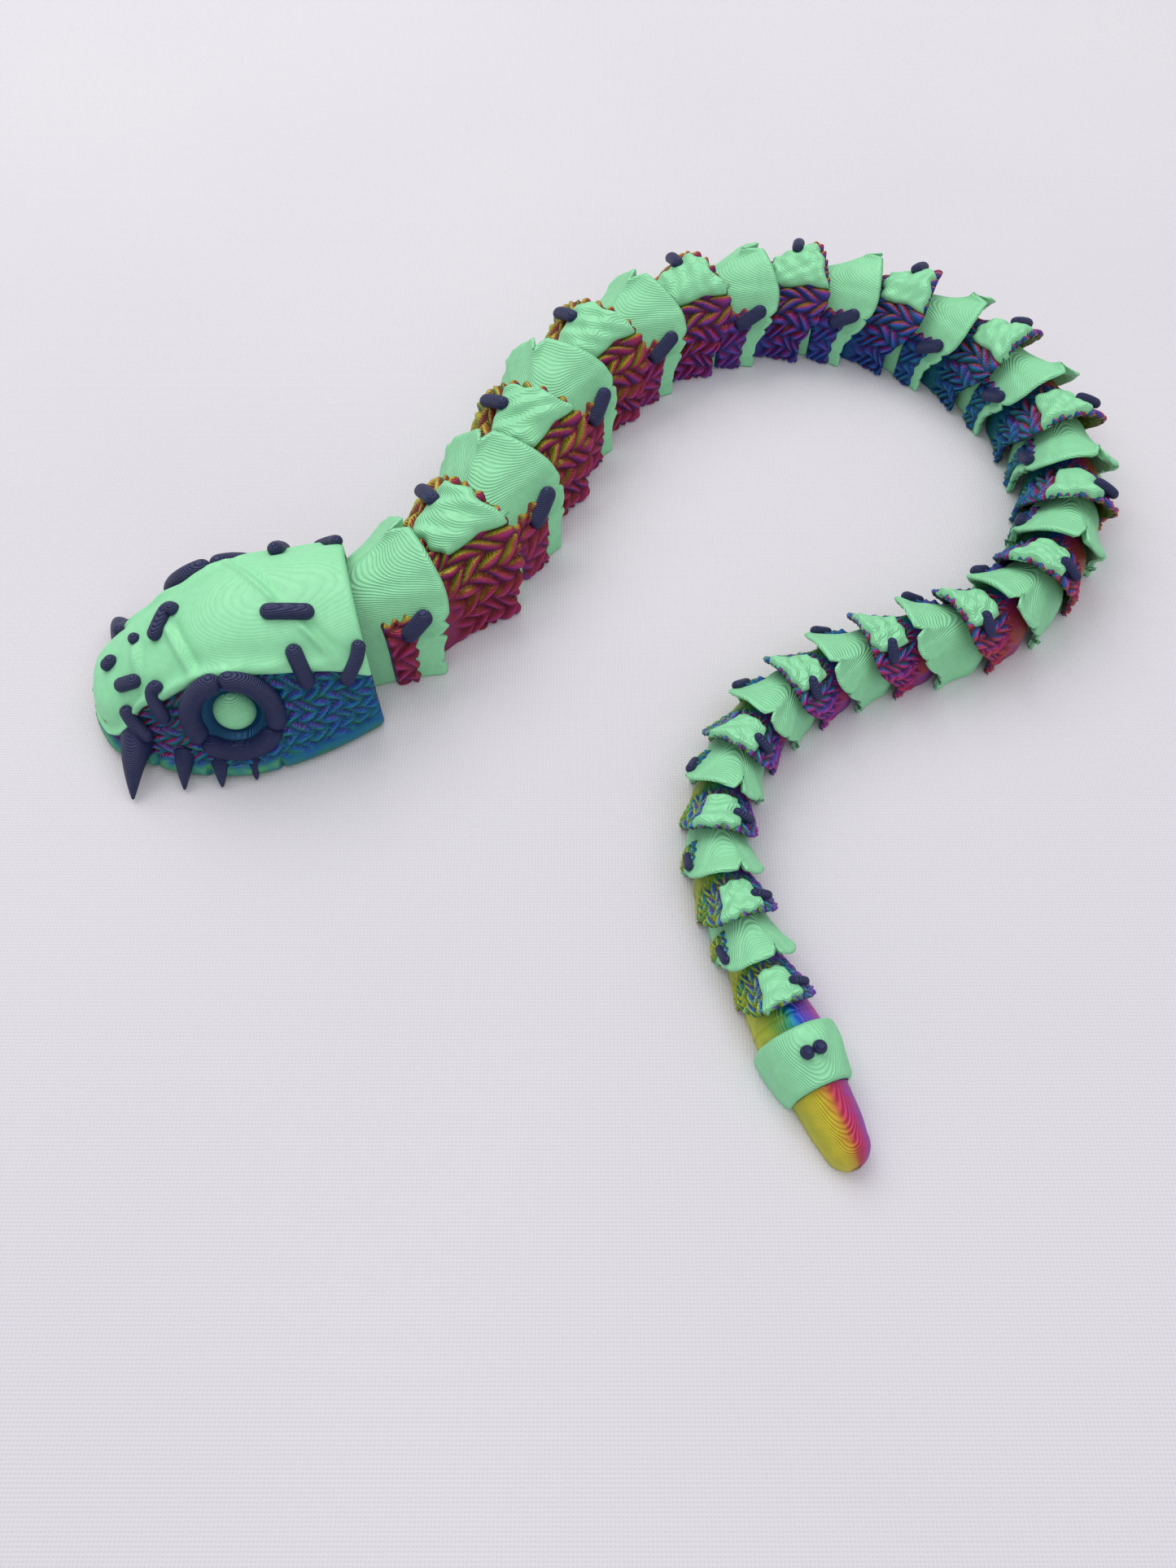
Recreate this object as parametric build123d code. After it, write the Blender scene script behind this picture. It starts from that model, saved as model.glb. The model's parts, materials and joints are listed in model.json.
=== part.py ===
from build123d import *
import os
from math import asin, cos, degrees, radians, sin, sqrt

# Articulated toy snake, printed in place in three plastics: a head, 34 hollow
# arched segments that hinge on each other about upright pins, and a tail.
# Millimetres. +Z is up and the snake lies flat on z = 0. The origin is the
# centre of its footprint. Every moving piece is drawn in a frame of its own:
# the front hinge pin stands at the origin and +X points towards the tail.

# ---- chain -------------------------------------------------------------
SEGMENTS = 34
HEAD_HEADING = 12.0            # degrees from +X, nose to neck
# The curve that the snake lies in: (how many hinges, degrees that each turns).
BENDS = [(3, 18.0), (2, 1.0), (18, -13.0), (3, 6.0), (6, 12.5), (3, 2.0)]
PITCH_NECK, PITCH_TAIL, PITCH_POWER = 13.8, 6.8, 1.6   # hinge to hinge
WIDTH_NECK, WIDTH_TAIL = 28.0, 13.2                    # of the flared rear rim
HINGE_SWING = 20.0             # degrees each way from straight

# ---- section of a segment, as shares of its width --------------------------
HEIGHT_RATIO = 0.70            # rear rim height
LEG_RATIO = 0.30               # upright part of the arch, as a share of its height
NECK_RATIO = 0.62              # front half width, as a share of the rear one
NECK_HEIGHT_RATIO = 0.78
FLARE_POWER = 1.5              # how late the cowl widens
RIM_OVERHANG = 0.10            # rim reaches this far behind the rear hinge
LINK_THICKNESS = 0.14
PIN_RADIUS = 0.045
RING_WALL = 0.05
BAR_HALF_WIDTH = 0.045
PATCH_THICKNESS = 0.8
SLOT_MARGIN = 5.0              # degrees that the front slot is wider than the swing
# How far ahead of the pin the dome is drawn, as shares of its radius.
DOME_STATIONS = (0.93, 0.80, 0.55, 0.28)
FLARE_STATIONS = 4


def width_of(i):
    return WIDTH_NECK + (WIDTH_TAIL - WIDTH_NECK) * i / (SEGMENTS - 1)


def pitch_of(i):
    rest = 1.0 - i / (SEGMENTS - 1)
    return PITCH_TAIL + (PITCH_NECK - PITCH_TAIL) * rest ** PITCH_POWER


def wall_of(width):
    return 0.25 + 0.045 * width


def gap_of(width):
    return 0.25 + 0.0035 * width


def link_levels(width):
    """Bottom heights of the low and the high link."""
    low = wall_of(width) + gap_of(width)
    high = low + LINK_THICKNESS * width + gap_of(width)
    return low, high


def hinge_layout():
    """Hinge points and headings of the lying snake, head hinge at the origin."""
    heading = HEAD_HEADING
    x = y = 0.0
    places = []
    bends = [bend for count, bend in BENDS for _ in range(count)]
    for i, bend in enumerate(bends):
        heading += bend
        places.append((x, y, heading))
        if i < SEGMENTS:
            x += pitch_of(i) * cos(radians(heading))
            y += pitch_of(i) * sin(radians(heading))
    return places


# ---- arched shells -------------------------------------------------------
def across(x):
    """Plane across the snake at x: its first axis is +Y and its second is +Z."""
    return Plane(origin=(x, 0, 0), x_dir=(0, 1, 0), z_dir=(1, 0, 0))


def arch_face(x, half, height, leg=None, below=0.0):
    """Arch with upright legs and an elliptical top, closed along its foot."""
    leg = LEG_RATIO * height if leg is None else leg
    outline = [
        Line((-half, -below), (half, -below)),
        Line((half, -below), (half, leg)),
        EllipticalCenterArc((0, leg), half, height - leg, start_angle=0, arc_size=180),
        Line((-half, leg), (-half, -below)),
    ]
    return across(x) * make_face(outline)


def cowl_size(width, length, x):
    """Half width and height of the cowl at x."""
    share = (x / length) ** FLARE_POWER
    half = width / 2 * (NECK_RATIO + (1 - NECK_RATIO) * share)
    height = width * HEIGHT_RATIO * (NECK_HEIGHT_RATIO + (1 - NECK_HEIGHT_RATIO) * share)
    return half, height


def dome_faces(radius, height, below=0.0):
    """Arches of a rounded front that is turned about the hinge axis."""
    leg = LEG_RATIO * height
    faces = []
    for share in DOME_STATIONS:
        shrink = sqrt(1 - share ** 2)
        faces.append(arch_face(-share * radius, shrink * radius, leg + shrink * (height - leg), leg, below))
    return faces


def cowl_solid(width, length, offset=0.0, beyond=0.0, below=0.0):
    """Closed cowl, grown or shrunk by offset: a domed front and flared arches."""
    half, height = cowl_size(width, length, 0)
    faces = dome_faces(half + offset, height + offset, below)
    for k in range(FLARE_STATIONS + 1):
        x = (length + beyond) * k / FLARE_STATIONS
        half, height = cowl_size(width, length, x)
        faces.append(arch_face(x, half + offset, height + offset, below=below))
    return loft(faces)


def front_slot(width, level):
    """Wedge in front of the pin that the link of the piece ahead swings in."""
    half = cowl_size(width, 1.0, 0)[0]
    bar = degrees(asin(BAR_HALF_WIDTH * width / (half - wall_of(width))))
    spread = radians(HINGE_SWING + bar + SLOT_MARGIN)
    reach = 2 * width
    corner = (-reach * cos(spread), reach * sin(spread))
    wedge = Polygon((0, 0), corner, (corner[0], -corner[1]), align=None)
    gap = gap_of(width)
    tall = LINK_THICKNESS * width + 2 * gap
    return Pos(0, 0, link_levels(width)[level] - gap) * extrude(wedge, tall)


def upright(radius, bottom, top):
    foot_up = (Align.CENTER, Align.CENTER, Align.MIN)
    return Pos(0, 0, bottom) * Cylinder(radius, top - bottom, align=foot_up)


def hinge_pin(width, ring_level):
    """Pin that the ring ahead turns on, with shoulders that keep it in place."""
    low, high = link_levels(width)
    gap = gap_of(width)
    roof = cowl_size(width, 1.0, 0)[1] - wall_of(width) / 2
    shoulder = (PIN_RADIUS + RING_WALL) * width
    tall = LINK_THICKNESS * width
    pin = upright(PIN_RADIUS * width, 0, roof)
    if ring_level == 0:
        return pin + upright(shoulder, high, roof)
    return pin + upright(shoulder, 0, low + tall) + upright(shoulder, high + tall + gap, roof)


def link(start, pitch, width, next_width, level):
    """Bar to the next hinge, and the ring round its pin."""
    bottom = link_levels(next_width)[level]
    top = bottom + LINK_THICKNESS * next_width
    half_bar = BAR_HALF_WIDTH * width
    outer = (PIN_RADIUS + RING_WALL) * next_width + gap_of(next_width)
    hole = PIN_RADIUS * next_width + gap_of(next_width)
    bar = Pos((start + pitch) / 2, 0, (bottom + top) / 2) * Box(pitch - start, 2 * half_bar, top - bottom)
    ring = Pos(pitch, 0, 0) * upright(outer, bottom, top)
    eye = Pos(pitch, 0, 0) * upright(hole, bottom - 1, top + 1)
    return bar + ring - eye


def floor_plate(width, outer):
    """Thin floor under the front dome, which carries the foot of the pin."""
    half = cowl_size(width, 1.0, 0)[0]
    thick = wall_of(width)
    back = 2.5 * PIN_RADIUS * width
    slab = Pos((back - half) / 2, 0, thick / 2) * Box(back + half, 2 * width, thick)
    return outer & slab


def segment(i):
    """One hollow segment: flared cowl, floor plate, pin, link and ring."""
    width = width_of(i)
    next_width = width_of(min(i + 1, SEGMENTS - 1))
    length = pitch_of(i) + RIM_OVERHANG * width
    own_level = i % 2
    outer = cowl_solid(width, length)
    inner = cowl_solid(width, length, -wall_of(width), beyond=1.0, below=1.0)
    shell = outer - inner - front_slot(width, 1 - own_level)
    inside = [floor_plate(width, outer), hinge_pin(width, 1 - own_level)]
    inside.append(link(0, pitch_of(i), width, next_width, own_level))
    return shell + inside


def patch(i):
    """Sewn-on looking patch that covers the top of a knitted segment."""
    width = width_of(i)
    length = pitch_of(i) + RIM_OVERHANG * width
    skin = cowl_solid(width, length, PATCH_THICKNESS) - cowl_solid(width, length)
    side = 0.46 * width
    plan = Pos(0.60 * length, 0) * RectangleRounded(0.72 * length, side, 0.1 * width)
    return skin & Pos(0, 0, 0.35 * width) * extrude(plan, width)


# ---- head ------------------------------------------------------------------
# Stations from the rim to the nose: x, floor half width, shoulder half width
# at half height, and height.
HEAD_STATIONS = [
    (2.8, 14.4, 13.6, 19.8),
    (-3.0, 17.0, 14.4, 20.4),
    (-10.0, 18.3, 14.9, 20.4),
    (-18.0, 18.4, 14.2, 18.8),
    (-26.0, 15.6, 12.0, 15.0),
    (-33.0, 11.6, 9.4, 11.0),
    (-37.5, 7.6, 6.2, 8.0),
    (-39.3, 4.2, 3.4, 6.0),
]
NECK_FRONT, NECK_HALF, NECK_HEIGHT = -10.4, 12.6, 18.2    # hollow for the first segment
CAP_THICKNESS = 1.0
# Lower edge of the cap in side view, from behind the rim to past the nose.
CAP_HEM = [
    (6.0, 12.5), (-8.0, 15.0), (-14.0, 16.8), (-19.0, 15.6),
    (-24.0, 11.0), (-31.0, 6.4), (-41.0, 3.6),
]
CHIN_RISE, CHIN_START = 3.4, -25.0
EYE_X, EYE_Z, EYE_OUT = -17.0, 9.4, 14.6
EYE_TILT, EYE_TURN = 24.0, 8.0        # degrees up and forward
EYE_RING_OUTER, EYE_RING_INNER, EYE_RING_THICK = 8.6, 5.3, 2.2
EYE_BOWL_DEPTH = 1.2
PUPIL_RADIUS = 3.6
# Fangs on each lip: x and radius of the root, then how far the tip leans
# forward and out from it.
FANGS = [(-33.4, 2.3, 3.2, 6.4), (-26.6, 1.6, 1.6, 3.6), (-21.4, 1.4, 1.0, 2.6), (-16.4, 1.2, 0.6, 1.8)]
# Stitches on the cap: x, y, length, and direction from +X in degrees.
HEAD_STITCHES = [
    (-6.5, -4.5, 8.0, 8.0), (-6.0, 5.5, 7.0, -12.0), (-24.0, 3.5, 6.0, 62.0), (-28.5, -4.0, 4.6, 40.0),
    (-31.0, 5.0, 4.6, -40.0), (-34.5, 0.5, 4.0, 80.0), (-15.0, 8.0, 6.0, 20.0),
]
STITCH_RADIUS = 1.0


def head_face(x, floor_half, shoulder_half, height, offset=0.0):
    crown = 0.62 * shoulder_half
    right = [
        (floor_half + offset, 0),
        (floor_half * 1.005 + offset, 0.10 * height),
        (shoulder_half + offset, 0.50 * height + offset / 2),
        (crown + offset * 0.6, 0.88 * height + offset),
    ]
    left = [(-u, z) for u, z in reversed(right)]
    over = Spline(right + [(0, height + offset)] + left)
    return across(x) * make_face([Line(left[-1], right[0]), over])


def head_solid(offset=0.0):
    return loft([head_face(x, b, s, h, offset) for x, b, s, h in HEAD_STATIONS])


def eye_place(side):
    """Location on the cheek whose +Z looks out of the eye."""
    return (
        Pos(EYE_X, side * EYE_OUT, EYE_Z)
        * Rot(0, 0, side * (90 + EYE_TURN))
        * Rot(0, 90 - EYE_TILT, 0)
    )


def chin_cut():
    nose = HEAD_STATIONS[-1][0] - 2
    outline = Polygon((CHIN_START, -1), (CHIN_START, 0), (nose, CHIN_RISE), (nose, -1), align=None)
    return extrude(Plane.XZ * outline, 40, both=True)


def head_base():
    """Knitted lower head with eye bowls, a hollow neck and the first link."""
    width = width_of(0)
    body = head_solid() - chin_cut()
    mouth = arch_face(NECK_FRONT, NECK_HALF, NECK_HEIGHT, below=1.0)
    body -= extrude(mouth, 14, dir=(1, 0, 0))
    for side in (-1, 1):
        bowl = eye_place(side) * Pos(0, 0, 4) * Cylinder(EYE_RING_INNER, 8 + 2 * EYE_BOWL_DEPTH)
        body -= bowl
    return body + link(NECK_FRONT - 1, 0, width, width, 1)


def head_cap():
    """Smooth cap over the top of the head, down to its hem."""
    above = [(x, z) for x, z in CAP_HEM] + [(-41.0, 30.0), (6.0, 30.0)]
    region = extrude(Plane.XZ * Polygon(*above, align=None), 40, both=True)
    skin = (head_solid(CAP_THICKNESS) - head_solid()) & region
    for side in (-1, 1):
        skin -= eye_place(side) * Cylinder(EYE_RING_OUTER + 0.01, 20)
    return skin


def eye_rings():
    """Thick ring round each eye."""
    rings = []
    for side in (-1, 1):
        tube = Cylinder(EYE_RING_OUTER, 8) - Cylinder(EYE_RING_INNER, 9)
        proud = tube & Pos(0, 0, EYE_RING_THICK - 4) * Cylinder(EYE_RING_OUTER + 1, 8)
        rings.append(eye_place(side) * proud)
    return rings


def eye_pupils():
    """Domed pupil on the floor of each eye bowl."""
    domes = []
    for side in (-1, 1):
        ball = Pos(0, 0, -PUPIL_RADIUS * 0.35) * Sphere(PUPIL_RADIUS)
        floor = -EYE_BOWL_DEPTH
        dome = ball & Pos(0, 0, floor + 5) * Box(20, 20, 10)
        domes.append(eye_place(side) * dome)
    return domes


def head_half_width(x):
    """Floor half width of the head at x, straight between its stations."""
    for (x0, b0, _, _), (x1, b1, _, _) in zip(HEAD_STATIONS, HEAD_STATIONS[1:]):
        if x1 <= x <= x0:
            return b0 + (b1 - b0) * (x0 - x) / (x0 - x1)
    return HEAD_STATIONS[-1][1]


def fangs(base, rings, cap):
    """Cones that splay from the lips and touch the ground with their tips."""
    teeth = []
    for x, radius, forward, out in FANGS:
        for side in (-1, 1):
            half = head_half_width(x)
            root = Vector(x, side * (half - radius), radius + 1.1)
            tip = Vector(x - forward, side * (half + out), 0.35)
            way = tip - root
            cone = Cone(radius, 0.3, way.length, align=(Align.CENTER, Align.CENTER, Align.MIN))
            teeth.append(Plane(root, z_dir=way) * cone - base - rings - cap)
    return teeth


def stitch(start, end, radius):
    """Fat rounded bar of yarn from one point to another."""
    way = end - start
    bar = Cylinder(radius, way.length) + Pos(0, 0, way.length / 2) * Sphere(radius)
    bar += Pos(0, 0, -way.length / 2) * Sphere(radius)
    return Plane((start + end) / 2, z_dir=way) * bar


def on_top(shape, x, y):
    """Highest point of a shape over x and y."""
    ray = Pos(x, y, 20) * Box(0.2, 0.2, 40)
    return Vector(x, y, (ray & shape).bounding_box().max.Z)


def head_stitches():
    """Yarn bars that lie on the cap."""
    over = head_solid(CAP_THICKNESS)
    bars = []
    for x, y, length, turn in HEAD_STITCHES:
        dx = length / 2 * cos(radians(turn))
        dy = length / 2 * sin(radians(turn))
        bar = stitch(on_top(over, x - dx, y - dy), on_top(over, x + dx, y + dy), STITCH_RADIUS)
        bars.append(bar - over)
    return bars


# ---- tail -------------------------------------------------------------------
# Stations from the hinge to the tip: x, half width and height.
TAIL_STATIONS = [
    (0, 4.3, 7.0), (4, 4.7, 7.4), (9, 4.3, 6.9), (14, 3.9, 6.3),
    (19, 3.4, 5.5), (22, 2.5, 4.2), (23.5, 1.3, 2.5),
]
SLEEVE_STATIONS = [(4.4, 5.9, 8.7), (7, 6.0, 8.8), (10, 5.5, 8.2), (13, 4.8, 7.4)]
TAIL_HOLLOW_BACK = 2.4
KNOT_X, KNOT_Z, KNOT_RADIUS = 8.0, 8.9, 1.25


def tail_core():
    """Domed hollow front with its floor and pin, and the rounded tip, in one piece."""
    width = width_of(SEGMENTS - 1)
    wall = wall_of(width)
    radius, height = TAIL_STATIONS[0][1:]
    outer = loft(dome_faces(radius, height) + [arch_face(*station) for station in TAIL_STATIONS])
    inner_radius, inner_height = radius - wall, height - wall
    back_arch = arch_face(TAIL_HOLLOW_BACK, inner_radius, inner_height, below=1.0)
    hollow = loft(dome_faces(inner_radius, inner_height, 1.0) + [back_arch])
    pin = hinge_pin(width, 1)
    floor = Pos(0, 0, wall / 2) * Box(4 * radius, 4 * radius, wall)
    return outer - (hollow - floor - pin) - (front_slot(width, 1) - pin)


def tail_sleeve(core):
    outer = loft([arch_face(*station) for station in SLEEVE_STATIONS])
    solid_core = loft([arch_face(*station) for station in TAIL_STATIONS])
    return outer - solid_core - core


def tail_knot(sleeve, core):
    """Two beads of yarn side by side on the sleeve."""
    beads = []
    for side in (-1, 1):
        bead = Pos(KNOT_X, side * KNOT_RADIUS, KNOT_Z) * Sphere(KNOT_RADIUS)
        beads.append(bead - sleeve - core)
    return beads


# ---- whole snake ---------------------------------------------------------------
def grouped(pieces):
    """One node from several separate solids."""
    flat = []
    for piece in pieces:
        flat += piece.solids()
    return Compound(children=flat) if len(flat) > 1 else flat[0]


def segment_name(i):
    kind = "mint" if i % 2 == 0 else "knit"
    return f"{kind}_segment_{i // 2 + 1:02d}"


def build_nodes():
    """Every node at its place, before the footprint is centred."""
    places = hinge_layout()
    nodes = {}
    head_at = Rot(0, 0, HEAD_HEADING)
    base = head_base()
    cap = head_cap()
    rings = eye_rings()
    ring_group = rings[0] + rings[1]
    nodes["head_base"] = head_at * (base - ring_group)
    nodes["head_cap"] = head_at * (cap - ring_group)
    nodes["eye_rings"] = head_at * grouped(rings)
    nodes["eye_pupils"] = head_at * grouped(eye_pupils())
    nodes["fangs"] = head_at * grouped(fangs(base, ring_group, cap))
    nodes["head_stitches"] = head_at * grouped(head_stitches())
    for i in range(SEGMENTS):
        x, y, heading = places[i]
        at = Pos(x, y, 0) * Rot(0, 0, heading)
        nodes[segment_name(i)] = at * segment(i)
        if i % 2 == 1:
            nodes[f"top_patch_{i // 2 + 1:02d}"] = at * patch(i)
    x, y, heading = places[SEGMENTS]
    at = Pos(x, y, 0) * Rot(0, 0, heading)
    core = tail_core()
    sleeve = tail_sleeve(core)
    nodes["tail_core"] = at * core
    nodes["tail_sleeve"] = at * sleeve
    nodes["tail_knot"] = at * grouped(tail_knot(sleeve, core))
    return nodes


def footprint_centre(nodes):
    boxes = [shape.bounding_box() for shape in nodes.values()]
    x = (min(b.min.X for b in boxes) + max(b.max.X for b in boxes)) / 2
    y = (min(b.min.Y for b in boxes) + max(b.max.Y for b in boxes)) / 2
    return x, y


snake = build_nodes()
centre = footprint_centre(snake)
os.makedirs("parts", exist_ok=True)
for name, shape in snake.items():
    export_step(Pos(-centre[0], -centre[1], 0) * shape, f"parts/{name}.step")
print("nodes", len(snake), "footprint centre", centre)
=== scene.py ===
import json
from math import atan2, cos, degrees, hypot, pi, radians, sin

import bpy
import numpy as np
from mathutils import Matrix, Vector


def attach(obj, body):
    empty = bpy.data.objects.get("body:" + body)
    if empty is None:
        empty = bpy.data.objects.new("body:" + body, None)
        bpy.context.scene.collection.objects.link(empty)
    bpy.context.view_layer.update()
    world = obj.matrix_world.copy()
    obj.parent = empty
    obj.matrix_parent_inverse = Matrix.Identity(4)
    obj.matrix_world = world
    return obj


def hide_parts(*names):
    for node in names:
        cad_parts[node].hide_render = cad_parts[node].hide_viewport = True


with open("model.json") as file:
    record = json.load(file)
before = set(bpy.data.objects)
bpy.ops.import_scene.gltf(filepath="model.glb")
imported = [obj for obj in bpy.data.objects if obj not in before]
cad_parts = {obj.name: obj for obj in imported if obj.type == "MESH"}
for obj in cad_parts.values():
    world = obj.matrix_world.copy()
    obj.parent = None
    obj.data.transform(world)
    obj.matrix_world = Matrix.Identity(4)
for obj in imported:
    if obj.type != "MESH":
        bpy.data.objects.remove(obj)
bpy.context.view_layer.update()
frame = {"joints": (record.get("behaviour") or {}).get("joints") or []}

# Articulated printed snake. Shapes are drawn in millimetres in the frame of
# their own body: the front hinge stands at the origin and +X points to the tail.
MM = 0.001
SEGMENTS = 34
NECK_TURN, TAIL_TURN = 18.0, 2.0       # degrees between head, first and last segment
WIDTH_NECK, WIDTH_TAIL = 28.0, 13.2
HEIGHT_RATIO, LEG_RATIO = 0.70, 0.30
NECK_RATIO, NECK_HEIGHT_RATIO, FLARE_POWER = 0.62, 0.78, 1.5
RIM_OVERHANG = 0.10
LINK_THICKNESS, PIN_RADIUS, RING_WALL, BAR_HALF_WIDTH = 0.14, 0.045, 0.05, 0.045
SWING, SLOT_MARGIN = 20.0, 5.0
ARC_SHARE = 0.79                       # part of an arch's run that is curved
BASE = 0.02                            # how far inner parts stand off the ground
DOME_END = 80.0                        # degrees round the front that the cowl reaches
KNIT_COLUMNS = 8                       # braids over a whole arch
KNIT_ROW = 0.125                       # stitch length, as a share of the width


# ---- frames ------------------------------------------------------------------
def hinge_places():
    """Hinge points in mm and the heading, in degrees, of the piece behind each."""
    points = [np.array(joint["pos_m"][:2]) / MM for joint in frame["joints"]]
    places = []
    for here, there in zip(points, points[1:]):
        step = there - here
        places.append((here, degrees(atan2(step[1], step[0])), hypot(*step)))
    places.append((points[-1], places[-1][1] + TAIL_TURN, 0.0))
    return places


def placed(points, origin, heading):
    """Points of a body's own frame, in mm, as metres in the shared frame."""
    c, s = cos(radians(heading)), sin(radians(heading))
    points = np.asarray(points, float)
    x = origin[0] + points[:, 0] * c - points[:, 1] * s
    y = origin[1] + points[:, 0] * s + points[:, 1] * c
    return np.stack([x, y, points[:, 2]], -1) * MM


def width_of(i):
    return WIDTH_NECK + (WIDTH_TAIL - WIDTH_NECK) * i / (SEGMENTS - 1)


def wall_of(width):
    return 0.25 + 0.045 * width


def gap_of(width):
    return 0.25 + 0.0035 * width


def link_levels(width):
    low = wall_of(width) + gap_of(width)
    return low, low + LINK_THICKNESS * width + gap_of(width)


# ---- curves and noise ----------------------------------------------------------
def smooth_curve(knots, values, at):
    """Smooth curve through values at rising knots. Values may be arrays."""
    knots, values = np.asarray(knots, float), np.asarray(values, float)
    slopes = np.gradient(values, knots, axis=0)
    at = np.clip(np.asarray(at, float), knots[0], knots[-1])
    k = np.clip(np.searchsorted(knots, at, side="right") - 1, 0, len(knots) - 2)
    shape = (-1,) + (1,) * (values.ndim - 1)
    span = (knots[k + 1] - knots[k]).reshape(shape)
    u = ((at - knots[k]) / (knots[k + 1] - knots[k])).reshape(shape)
    rise = values[k] * (1 + 2 * u) * (1 - u) ** 2 + values[k + 1] * u * u * (3 - 2 * u)
    return rise + span * (slopes[k] * u * (1 - u) ** 2 + slopes[k + 1] * u * u * (u - 1))


def step(low, high, x):
    """Smooth rise from 0 at low to 1 at high."""
    u = np.clip((np.asarray(x, float) - low) / (high - low), 0, 1)
    return u * u * (3 - 2 * u)


def hill(x, middle, reach):
    return np.exp(-((x - middle) / reach) ** 2)


def ripple(points, scale, seed):
    """Cheap smooth noise from -1 to 1 over points in mm."""
    rng = np.random.default_rng(seed)
    total = np.zeros(points.shape[:-1])
    for _ in range(6):
        way = rng.normal(size=3)
        way *= rng.uniform(0.7, 1.5) / (np.linalg.norm(way) * scale)
        total += np.sin(2 * pi * (points @ way) + rng.uniform(0, 2 * pi))
    return total / 3.2


# ---- meshes --------------------------------------------------------------------
def grid_normals(points):
    across = np.gradient(points, axis=1)
    along = np.gradient(points, axis=0)
    normal = np.cross(along, across)
    return normal / np.maximum(np.linalg.norm(normal, axis=-1, keepdims=True), 1e-9)


def tinted(points, tint):
    """Points that carry a colour after their place."""
    return np.concatenate([points, np.broadcast_to(tint, points.shape)], -1)


def shell(outer, inner, hole=None):
    """Closed shell between two grids, open where hole is true for a cell."""
    rows, cols, size = outer.shape
    count = rows * cols
    index = np.arange(count).reshape(rows, cols)
    corners = [index[:-1, :-1], index[1:, :-1], index[1:, 1:], index[:-1, 1:]]
    kept = np.ones((rows - 1, cols - 1), bool) if hole is None else ~hole
    quads = np.stack([c[kept] for c in corners], -1)
    faces = [quads, quads[:, ::-1] + count]
    pad = np.pad(kept, 1)
    beside = [pad[1:-1, :-2], pad[2:, 1:-1], pad[1:-1, 2:], pad[:-2, 1:-1]]
    for k, neighbour in enumerate(beside):
        edge = kept & ~neighbour
        p, q = corners[k][edge], corners[(k + 1) % 4][edge]
        faces.append(np.stack([q, p, p + count, q + count], -1))
    points = np.concatenate([outer.reshape(-1, size), inner.reshape(-1, size)])
    faces = np.concatenate(faces)
    used, faces = np.unique(faces, return_inverse=True)
    return points[used], faces.reshape(-1, 4).tolist()


def merged(*parts):
    """Several (points, faces) as one."""
    points, faces, base = [], [], 0
    for some_points, some_faces in parts:
        points.append(np.asarray(some_points, float))
        faces += [[k + base for k in face] for face in some_faces]
        base += len(some_points)
    return np.concatenate(points), faces


def circles(profile, turns):
    """Rings of points about +Z, one for each (radius, height)."""
    angles = np.linspace(0, 2 * pi, turns, endpoint=False)
    return np.concatenate([
        np.stack([r * np.cos(angles), r * np.sin(angles), np.full(turns, h)], -1) for r, h in profile
    ])


def tube_faces(loops, sides, upward=False):
    """Quads between rings of points, and a face over each end."""
    faces = []
    for k in range(loops - 1):
        for j in range(sides):
            a, b = k * sides + j, k * sides + (j + 1) % sides
            faces.append([a, b, b + sides, a + sides] if upward else [a, a + sides, b + sides, b])
    first = list(range(sides))
    last = [(loops - 1) * sides + j for j in range(sides)]
    return faces + ([first[::-1], last] if upward else [first, last[::-1]])


def lathe(profile, turns=28):
    """Closed solid of rings of (radius, height), from the bottom up, about +Z."""
    return circles(profile, turns), tube_faces(len(profile), turns, upward=True)


def moved(part, offset=(0, 0, 0), turn=None):
    points, faces = part
    points = points if turn is None else points @ np.asarray(turn).T
    return points + np.asarray(offset, float), faces


def ring(inner, outer, bottom, top, turns=28):
    """Flat ring about +Z."""
    faces = []
    for k in range(4):
        for j in range(turns):
            n = (j + 1) % turns
            a, b = k * turns, ((k + 1) % 4) * turns
            faces.append([a + j, a + n, b + n, b + j])
    return circles([(inner, bottom), (outer, bottom), (outer, top), (inner, top)], turns), faces


def block(low, high):
    (x0, y0, z0), (x1, y1, z1) = low, high
    points = [(x, y, z) for z in (z0, z1) for x, y in ((x0, y0), (x1, y0), (x1, y1), (x0, y1))]
    faces = [[3, 2, 1, 0], [4, 5, 6, 7], [0, 1, 5, 4], [1, 2, 6, 5], [2, 3, 7, 6], [3, 0, 4, 7]]
    return np.array(points, float), faces


def sweep(path, ups, sizes, flat, sides):
    """Closed tube along a path, with a radius at each point, flattened along ups."""
    ways = np.gradient(path, axis=0)
    ways /= np.linalg.norm(ways, axis=1, keepdims=True)
    outs = np.cross(ways, ups)
    outs /= np.linalg.norm(outs, axis=1, keepdims=True)
    ups = np.cross(outs, ways)
    angles = np.linspace(0, 2 * pi, sides, endpoint=False)
    rings = [
        p + s * (np.outer(np.cos(angles), o) + np.outer(np.sin(angles) * flat, u))
        for p, s, o, u in zip(path, sizes, outs, ups)
    ]
    return np.concatenate(rings), tube_faces(len(path), sides)


def yarn(path, ups, radius, flat=1.0, sides=14):
    """Fat bar with rounded ends along a path; ups point away from the surface."""
    path, ups = np.asarray(path, float), np.asarray(ups, float)
    run = np.concatenate([[0], np.cumsum(np.linalg.norm(np.diff(path, axis=0), axis=1))])
    left = np.minimum(np.minimum(run, run[-1] - run) / radius, 1)
    size = radius * np.sqrt(np.clip(1 - (1 - left) ** 2, 0.01, 1))
    return sweep(path, ups, size, flat, sides)


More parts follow.
